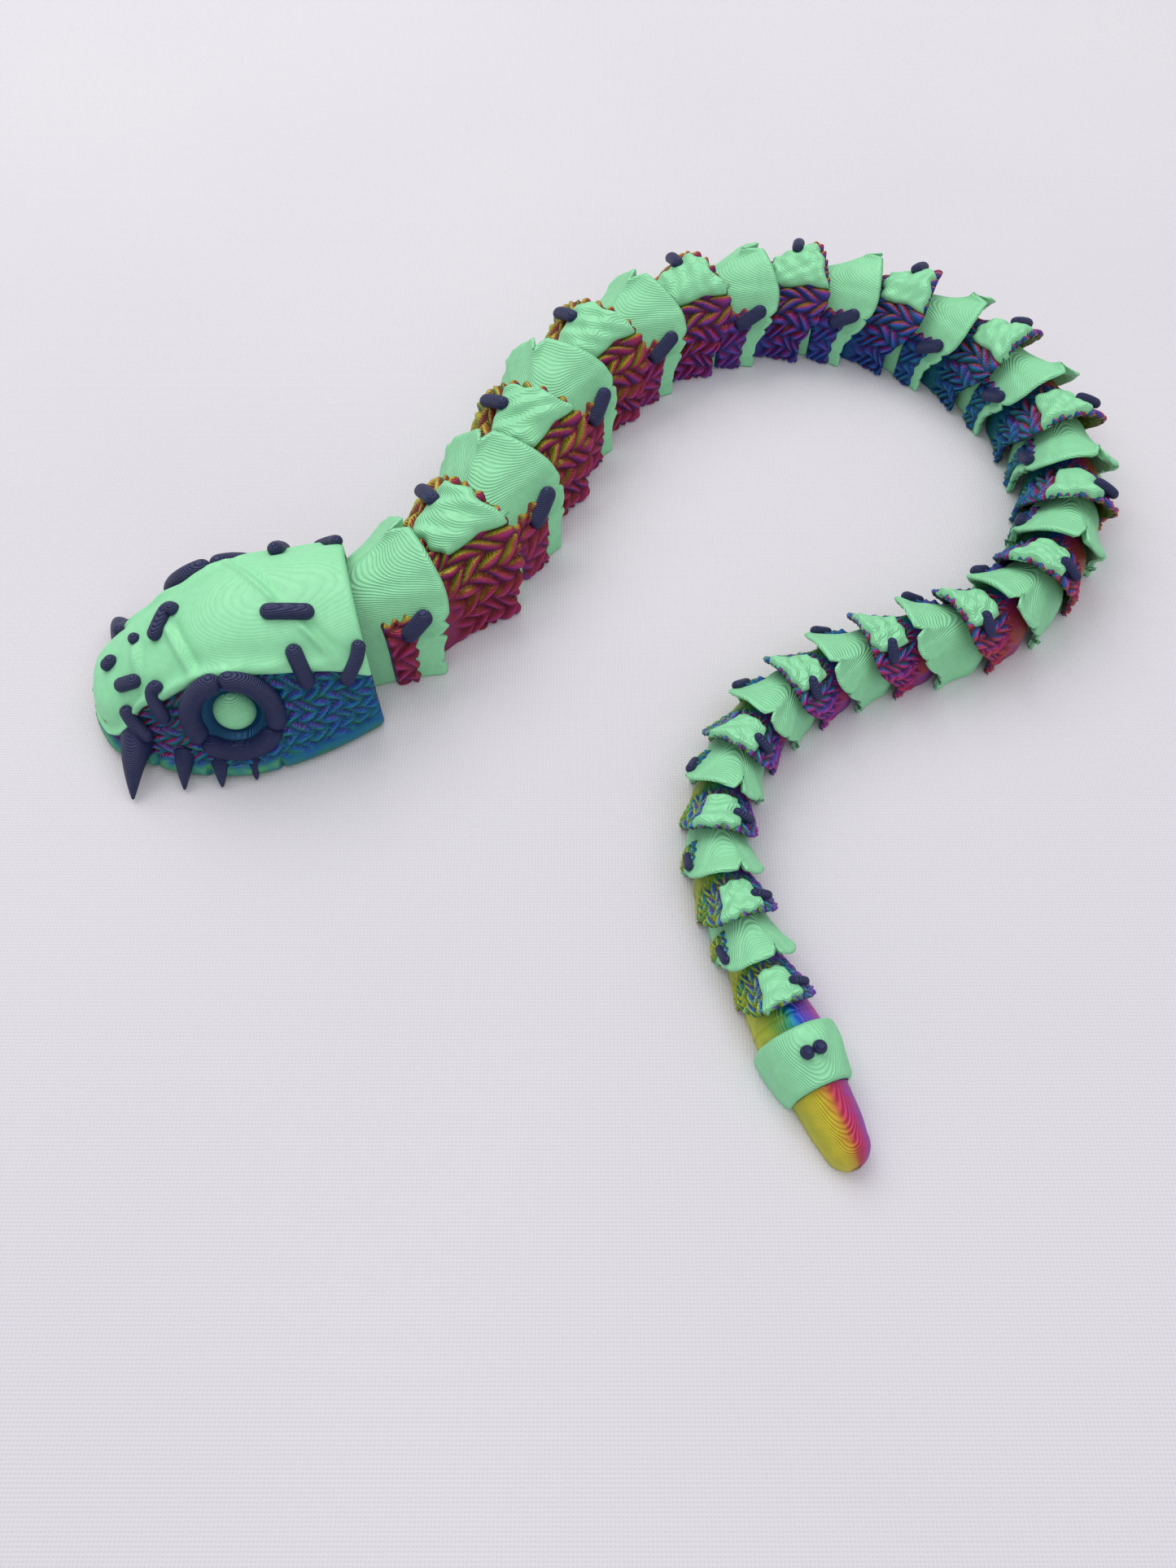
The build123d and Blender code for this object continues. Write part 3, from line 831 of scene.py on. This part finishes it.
def lower_head():
    """Knitted head with a hollow neck; its points carry their colours."""
    t = np.linspace(-1, 1, HEAD_COLUMNS)
    front = NECK_FRONT - (NECK_FRONT - NOSE) * np.linspace(1, 0, FRONT_ROWS, endpoint=False) ** 0.85
    back = np.linspace(NECK_FRONT, HEAD_REAR, HOLLOW_ROWS)
    smooth = head_section(np.concatenate([front, back]), t)
    rise, lips, bright = cheek_relief(smooth, t)
    outer = pressed_eyes(smooth + grid_normals(smooth) * rise[..., None])
    outer[..., 2] = np.maximum(outer[..., 2], 0)
    y, z = arch(NECK_HALF, NECK_HEIGHT, LEG_RATIO * NECK_HEIGHT, t)
    inner = np.stack(np.broadcast_arrays(back[:, None], y, z), -1)
    tints = cheek_tints(smooth, outer, lips, bright)
    # The neck hollow's face is a fixed dark blue: painted shade.
    return closed_head(tinted(outer, tints), tinted(inner, linear((40, 50, 90)) * 0.6))


def closed_head(outer, inner):
    """Solid head from its outer grid and the grid of its neck hollow."""
    rows, cols = outer.shape[:2]
    first = rows - inner.shape[0]
    index = np.arange(rows * cols).reshape(rows, cols)
    hollow = rows * cols + np.arange(inner.shape[0] * cols).reshape(inner.shape[0], cols)

    def quads(grid):
        cells = np.stack([grid[:-1, :-1], grid[1:, :-1], grid[1:, 1:], grid[:-1, 1:]], -1)
        return cells.reshape(-1, 4)

    faces = quads(index).tolist() + quads(hollow)[:, ::-1].tolist()
    for j in range(cols - 1):
        faces.append([index[-1, j + 1], index[-1, j], hollow[-1, j], hollow[-1, j + 1]])
    for k in range(first - 1):
        faces.append([index[k, 0], index[k, -1], index[k + 1, -1], index[k + 1, 0]])
    last = first - 1
    step_face = [index[last, 0], index[last, -1], index[first, -1]]
    faces.append(step_face + [hollow[0, -1], hollow[0, 0], index[first, 0]])
    for k in range(inner.shape[0] - 1):
        a, b = index[first + k], index[first + k + 1]
        c, d = hollow[k], hollow[k + 1]
        faces.append([b[0], a[0], c[0], d[0]])
        faces.append([a[-1], b[-1], d[-1], c[-1]])
    faces.append([int(k) for k in hollow[0]])
    faces.append([int(k) for k in index[0]][::-1])
    points = np.concatenate([outer.reshape(-1, 6), inner.reshape(-1, 6)])
    return points, [[int(k) for k in face] for face in faces]


# Folds in the cap: two ends as x and y, height, and how wide each is.
CAP_FOLDS = [
    ((-13.7, 9.8), (-7.3, -1.9), 0.50, 0.55),
    ((-24.1, 0.0), (-21.8, -8.4), 0.65, 0.6),
    ((-4.2, -6.7), (-1.1, -10.8), 0.55, 0.6),
    ((-29.9, 0.0), (-30.5, -2.6), 0.50, 0.6),
]


def fold_rise(points):
    """Rolled folds on the cap, each with a shallow trough beside it."""
    rise = np.zeros(points.shape[:-1])
    for start, end, height, reach in CAP_FOLDS:
        start, way = np.array(start), np.array(end) - np.array(start)
        span = hypot(*way)
        way = way / span
        off = points[..., :2] - start
        along, side = off @ way, off @ np.array([-way[1], way[0]])
        ends = step(-1.5, 1.0, along) * step(span + 1.5, span - 1.0, along)
        rise += height * ends * (hill(side, 0, reach) - 0.7 * hill(side, 2.1 * reach, 1.2 * reach))
    return rise


def head_cap():
    """Mint cap over the head, with a rolled hem."""
    x = NOSE + (HEAD_REAR - NOSE) * np.linspace(0, 1, 130) ** 0.9
    x[0] = NOSE + 0.05
    t_right = np.linspace(-1, 0, 201)
    profile = head_section(x, t_right, CAP_THICKNESS)
    reach = [-np.interp(h, row[:, 2], t_right) for h, row in zip(hem_height(x), profile)]
    v = np.linspace(-1, 1, 161)

    def face(offset):
        return np.stack([head_section(x[k:k + 1], v * end, offset)[0] for k, end in enumerate(reach)])

    outer = face(CAP_THICKNESS)
    from_hem = (1 - np.abs(v[None, :])) * np.array(reach)[:, None] * 24
    rise = cap_rise(outer, from_hem)
    return shell(outer + grid_normals(outer) * rise[..., None], face(-0.5))


def cap_rise(outer, from_hem):
    """How far the cap rises: its folds, the roll of its hem, its rounded edges and slight waves."""
    rise = 0.45 * hill(from_hem, 0.9, 0.7) * (1 + 0.5 * ripple(outer, 5.0, 3)) + fold_rise(outer)
    rise -= 0.30 * hill(from_hem, 2.8, 1.3)
    rise -= 0.7 * (1 - np.sqrt(np.clip(1 - (1 - np.clip(from_hem / 0.7, 0, 1)) ** 2, 0, 1)))
    rise -= 0.5 * (1 - lip(HEAD_REAR, outer[..., 0], 0.9))
    return rise + 0.10 * ripple(outer, 9.0, 12)


def eye_arcs():
    """Three fat stitches round each eye."""
    parts = []
    middle, radius = (RING_OUTER + RING_INNER) / 2, (RING_OUTER - RING_INNER) / 2 + 0.15
    for side in (-1, 1):
        turn = eye_frame(side)
        for centre in (35, 155, 275):
            angles = np.radians(np.linspace(centre - 62, centre + 62, 40))
            local = np.stack([-np.sin(angles), np.cos(angles), 0 * angles], -1) * middle
            local[:, 2] = 0.85
            ups = np.tile([0, 0, 1.0], (40, 1))
            parts.append(moved(yarn(local, ups, radius, flat=0.95, sides=20), eye_centre(side), turn))
    return merged(*parts)


def eye_bowls():
    """Shallow dish inside each ring."""
    profile = [
        (RING_INNER + 1.0, -2.6), (RING_INNER + 1.2, 0.4), (RING_INNER + 0.5, 0.75),
        (RING_INNER - 0.3, 0.5), (RING_INNER - 0.8, -0.7), (0.05, -1.2),
    ]
    bowls = [moved(lathe(profile, 60), eye_centre(side), eye_frame(side)) for side in (-1, 1)]
    return merged(*bowls)


def pupils():
    parts = []
    for side in (-1, 1):
        rise = np.radians(np.linspace(-10, 88, 14))
        profile = [(PUPIL_RADIUS * cos(a), PUPIL_RADIUS * 0.72 * sin(a) - 1.0) for a in rise]
        parts.append(moved(lathe(profile, 48), eye_centre(side), eye_frame(side)))
    return merged(*parts)


# Fangs on each lip: x, root radius, then how far the tip leans forward and out.
FANGS = [(-33.0, 2.9, 3.2, 6.2), (-26.6, 1.8, 1.6, 3.0), (-21.4, 1.7, 1.0, 2.2), (-16.4, 1.3, 0.6, 1.4)]


def fang(x, radius, forward, out, side):
    """Curved cone from under the lip down to the ground."""
    half = float(smooth_curve(HEAD_STATIONS[:, 0], HEAD_STATIONS[:, 1], [x])[0])
    root = np.array([x, side * (half - radius), radius + 1.4])
    tip = np.array([x - forward, side * (half + out), 0.35])
    s = np.linspace(0, 1, 16)[:, None]
    sag = np.array([0, 0, 0.12 * np.linalg.norm(tip - root)])
    path = root + (tip - root) * s + sag * np.sin(pi * s)
    sizes = radius * (1 - s[:, 0]) ** 0.85 + 0.18
    points, faces = sweep(path, np.array([0, 0, 1.0]), sizes, 1.0, 20)
    points[:, 2] = np.maximum(points[:, 2], 0)
    return points, faces


# Yarn bars on the head: the points each runs through, as x and t, and radius.
PAIRED_BARS = [
    ([(-6.1, 0.29), (-5.0, 0.52)], 1.3),
    ([(3.9, 0.33), (2.8, 0.42), (0.0, 0.54)], 1.1),
    ([(-33.6, 0.36), (-32.9, 0.50), (-31.0, 0.66)], 1.1),
]
SINGLE_BARS = [
    ([(-9.5, -0.11), (-1.6, -0.16)], 1.3),
    ([(-34.1, -0.20), (-29.9, -0.22)], 1.2),
    ([(-26.6, -0.29), (-28.4, -0.34), (-27.6, -0.55)], 1.1),
    ([(-26.8, -0.03), (-23.9, 0.11), (-22.2, 0.07)], 1.2),
    ([(-30.6, 0.05), (-29.2, 0.09)], 1.0),
    ([(-36.0, 0.0), (-33.6, 0.04)], 1.1),
]


def over_head(x, t, lift):
    """Points and outward directions on the cap at matching x and t."""
    def on_cap(offset):
        return np.array([head_section(np.array([a]), np.array([b]), offset)[0, 0] for a, b in zip(x, t)])

    base = on_cap(CAP_THICKNESS)
    ups = on_cap(CAP_THICKNESS + 1) - base
    ups /= np.linalg.norm(ups, axis=1, keepdims=True)
    return base + ups * lift, ups


def cap_bars():
    rows = [(stops, radius, side) for stops, radius in PAIRED_BARS for side in (-1, 1)]
    rows += [(stops, radius, 1) for stops, radius in SINGLE_BARS]
    parts = []
    for stops, radius, side in rows:
        u = (1 - np.cos(np.linspace(0, pi, 22))) / 2
        path = smooth_curve(np.linspace(0, 1, len(stops)), stops, u)
        points, ups = over_head(path[:, 0], side * path[:, 1], 0.35 * radius)
        parts.append(yarn(points, ups, radius, flat=0.9))
    return merged(*parts)


def build_head(origin, heading):
    width = width_of(0)
    link_turn = radians(-HEAD_ASKEW)
    back = [(cos(link_turn), -sin(link_turn), 0), (sin(link_turn), cos(link_turn), 0), (0, 0, 1)]
    inside = moved(link_part(NECK_FRONT - 1, 0, width, width, 1), (0, 0, 0), back)
    inside = moved(inside, np.array(back) @ (0, -HEAD_ASIDE, 0))
    side = radians(heading)
    origin = origin + HEAD_ASIDE * np.array([-sin(side), cos(side)])
    heading = heading + HEAD_ASKEW
    # The link inside the head is a fixed dark blue: painted shade.
    knitted = with_plain(lower_head(), inside, linear((24, 60, 110)) * 0.7)
    put("head_knit", "head", knitted, origin, heading, SILK, ["head_base"])
    put("head_mint_cap", "head", head_cap(), origin, heading, SMOOTH_MINT, ["head_cap"])
    put("eye_arcs", "head", eye_arcs(), origin, heading, NAVY, ["eye_rings"])
    points, faces = eye_bowls()
    bowls = (tinted(points, linear((6, 84, 130))), faces)
    put("eye_bowls", "head", bowls, origin, heading, SILK)
    put("pupils", "head", pupils(), origin, heading, MINT, ["eye_pupils"])
    teeth = merged(*[fang(*row, side) for row in FANGS for side in (-1, 1)])
    put("fang_cones", "head", teeth, origin, heading, NAVY, ["fangs"])
    put("cap_stitches", "head", cap_bars(), origin, heading, NAVY, ["head_stitches"])


# ---- tail --------------------------------------------------------------------------------
# Stations as x, half width and height.
TAIL_STATIONS = np.array([
    (0, 4.3, 7.0), (4, 4.7, 7.4), (9, 4.3, 6.9), (14, 3.9, 6.3), (19, 3.4, 5.5),
    (22, 2.5, 4.2), (23.5, 1.3, 2.5),
])
SLEEVE_STATIONS = np.array([(4.4, 5.9, 8.7), (7, 6.0, 8.8), (10, 5.5, 8.2), (13, 4.8, 7.4)])
TAIL_HOLLOW, TIP_START, TIP_END = 2.4, 20.0, 23.4
SLEEVE_FRONT, SLEEVE_REAR = 4.4, 13.0
KNOT_X, KNOT_Z, KNOT_RADIUS = 8.4, 8.9, 0.95
TAIL_HUE, TIP_HUE = -208.0, 142.0


def tube_grid(stations, x, t, offset=0.0):
    sizes = smooth_curve(stations[:, 0], stations[:, 1:], x) + offset
    y, z = arch(sizes[:, :1], sizes[:, 1:], LEG_RATIO * sizes[:, 1:], t[None, :])
    return np.stack([np.broadcast_to(x[:, None], y.shape), y, z], -1)


def solid_rows(grid):
    """Closed solid from a grid of arches: ends, and a flat underside."""
    rows, cols = grid.shape[:2]
    index = np.arange(rows * cols).reshape(rows, cols)
    cells = np.stack([index[:-1, :-1], index[1:, :-1], index[1:, 1:], index[:-1, 1:]], -1)
    faces = cells.reshape(-1, 4).tolist()
    for k in range(rows - 1):
        faces.append([int(index[k, 0]), int(index[k, -1]), int(index[k + 1, -1]), int(index[k + 1, 0])])
    faces.append(index[0].tolist()[::-1])
    faces.append(index[-1].tolist())
    return grid.reshape(-1, grid.shape[-1]), faces


def tail_front(t):
    """Domed hollow front of the tail; its points carry their colours."""
    width = width_of(SEGMENTS - 1)
    wall = wall_of(width)
    radius, height = TAIL_STATIONS[0, 1:]

    def grid(offset):
        front = dome(radius + offset, height + offset, np.linspace(84, 0, 26), t)
        back = tube_grid(TAIL_STATIONS, np.linspace(0.4, TAIL_HOLLOW, 6), t, offset)
        return np.concatenate([front, back])

    outer, inner = grid(0.0), grid(-wall)
    hole = slot_cells(outer, width, 1)
    # The inner face is a fixed dark purple: painted shade.
    return shell(tinted(outer, tail_tints(outer)), tinted(inner, linear((60, 40, 90)) * 0.5), hole)


def tail_tints(grid):
    """Colours of the tail: through blue over its front dome, through orange over its tip."""
    normals, spread = grid_normals(grid), 8 * ripple(grid, 2.5, 2)
    bright = np.full(grid.shape[:2], 1.35)
    front = rainbow(normals, TAIL_HUE + spread, 200.0, bright)
    tip = rainbow(normals, TIP_HUE + spread, -180.0, 0.8 * bright)
    share = step(8.0, 12.0, grid[..., 0])[..., None]
    return front + share * (tip - front)


def tail_rod(t):
    """Solid rear of the tail, out to its rounded tip; its points carry their colours."""
    x = TAIL_HOLLOW + (TIP_END - TAIL_HOLLOW) * np.linspace(0, 1, 90) ** 0.8
    grid = tube_grid(TAIL_STATIONS, np.minimum(x, TIP_START), t)
    past = np.maximum(x, TIP_START) - TIP_START
    close = np.sqrt(np.clip(1 - (past / 3.45) ** 2, 0.01, 1))
    grid[..., 0] = x[:, None]
    grid[..., 1] *= close[:, None]
    grid[..., 2] *= (0.25 + 0.75 * close)[:, None]
    return solid_rows(tinted(grid, tail_tints(grid)))


def sleeve(t):
    x = np.linspace(SLEEVE_FRONT, SLEEVE_REAR, 44)
    grid = tube_grid(SLEEVE_STATIONS, x, t)
    from_end = np.clip(np.minimum(x - SLEEVE_FRONT, SLEEVE_REAR - x) / 0.9, 0, 1)
    ends = np.sqrt(np.clip(1 - (1 - from_end) ** 2, 0, 1))
    grid += grid_normals(grid) * (0.7 * (ends - 1)[:, None] + 0.10 * ripple(grid, 4.0, 8))[..., None]
    grid[..., 2] = np.maximum(grid[..., 2], 0)
    return solid_rows(grid)


def knot():
    beads = []
    rise = np.radians(np.linspace(-88, 88, 16))
    for side in (-1, 1):
        profile = [(KNOT_RADIUS * 1.05 * cos(a), KNOT_RADIUS * 0.85 * sin(a)) for a in rise]
        beads.append(moved(lathe(profile, 24), (KNOT_X, side * KNOT_RADIUS, KNOT_Z)))
    return merged(*beads)


def build_tail(origin, heading):
    width = width_of(SEGMENTS - 1)
    t = np.linspace(-1, 1, 97)
    radius = TAIL_STATIONS[0, 1] - 0.3
    floor = lathe([(radius, BASE), (radius, wall_of(width))])
    # The hinge post and floor inside the tail front are a fixed dark purple: painted shade.
    front = with_plain(tail_front(t), merged(*hinge_post(width, 0), floor), linear((60, 40, 90)) * 0.6)
    core = merged(front, tail_rod(t))
    put("tail_rod", "tail", core, origin, heading, SILK, ["tail_core"])
    put("tail_mint_sleeve", "tail", sleeve(t), origin, heading, MINT, ["tail_sleeve"])
    put("tail_beads", "tail", knot(), origin, heading, NAVY, ["tail_knot"])


# ---- surroundings --------------------------------------------------------------------------
def cloth_floor():
    """Wide pale woven ground."""
    bpy.ops.mesh.primitive_plane_add(size=6.0, location=(0, 0, -0.0002))
    ground = bpy.context.object
    ground.name = "ground"
    material = bpy.data.materials.new("pale_cloth")
    material.use_nodes = True
    tree = material.node_tree
    shader = tree.nodes["Principled BSDF"]
    where = tree.nodes.new("ShaderNodeTexCoord").outputs["Object"]
    threads = []
    for direction in ("X", "Y"):
        weave = tree.nodes.new("ShaderNodeTexWave")
        weave.inputs["Scale"].default_value = 640.0
        weave.inputs["Distortion"].default_value = 0.4
        weave.bands_direction = direction
        tree.links.new(where, weave.inputs["Vector"])
        threads.append(weave.outputs["Fac"])
    crossing = maths(tree, "MULTIPLY", *threads)
    pale = tuple(linear((232, 229, 234)))
    grey = tuple(linear((222, 219, 228)))
    colour = mixed(tree, "MIX", noise(tree, where, 9.0), pale, grey)
    thread = mixed(tree, "MULTIPLY", maths(tree, "MULTIPLY", crossing, 0.10), colour, (0.5, 0.5, 0.55))
    link_all(tree, [
        (bumped(tree, crossing, 0.5, 0.12 * MM), shader.inputs["Normal"]),
        (thread, shader.inputs["Base Color"]),
    ])
    shader.inputs["Roughness"].default_value = 0.85
    ground.data.materials.append(material)


def area_light(name, place, target, size, power, tint=(1, 1, 1)):
    data = bpy.data.lights.new(name, "AREA")
    data.shape = "RECTANGLE"
    data.size, data.size_y = size
    data.energy = power
    data.color = tint
    lamp = bpy.data.objects.new(name, data)
    bpy.context.scene.collection.objects.link(lamp)
    lamp.location = place
    way = np.array(target) - np.array(place)
    lamp.rotation_euler = Vector(way).to_track_quat("-Z", "Y").to_euler()


def lights():
    world = bpy.data.worlds.new("soft_room")
    bpy.context.scene.world = world
    world.use_nodes = True
    world.node_tree.nodes["Background"].inputs[0].default_value = (0.96, 0.96, 0.985, 1)
    world.node_tree.nodes["Background"].inputs[1].default_value = 0.42
    area_light("window", (-0.35, 0.55, 0.75), (0, 0, 0), (0.9, 0.7), 5.4, (1.0, 0.99, 0.97))
    area_light("ceiling", (0.25, 0.0, 0.9), (0, 0, 0), (1.0, 1.0), 2.7)
    area_light("front_fill", (0.1, -0.7, 0.45), (0, 0, 0), (0.8, 0.5), 0.7)


def plain_tones():
    bpy.context.scene.view_settings.view_transform = "Standard"
    bpy.context.scene.view_settings.look = "None"


# Camera: where it stands past the first hinge and above the ground, in metres, and degrees off
# straight down.
CAMERA_ASIDE, CAMERA_BACK, CAMERA_HEIGHT = 0.04128, 0.11565, 0.163
CAMERA_TILT = 29.0


def camera(first_hinge):
    """Camera at the photograph's place and angle."""
    data = bpy.data.cameras.new("photo_camera")
    data.sensor_fit = "VERTICAL"
    data.sensor_height = 34.6
    data.lens = 26.0
    data.clip_start = 0.01
    eye = bpy.data.objects.new("photo_camera", data)
    bpy.context.scene.collection.objects.link(eye)
    x, y = first_hinge * MM + (CAMERA_ASIDE, -CAMERA_BACK)
    eye.location = (x, y, CAMERA_HEIGHT)
    eye.rotation_euler = (radians(CAMERA_TILT), 0, 0)
    bpy.context.scene.camera = eye


# ---- build -----------------------------------------------------------------------------------
places = hinge_places()
build_head(places[0][0], places[0][1] - NECK_TURN)
for number in range(SEGMENTS):
    build_segment(number, places)
build_tail(places[-1][0], places[-1][1])
cloth_floor()
lights()
camera(places[0][0])
plain_tones()
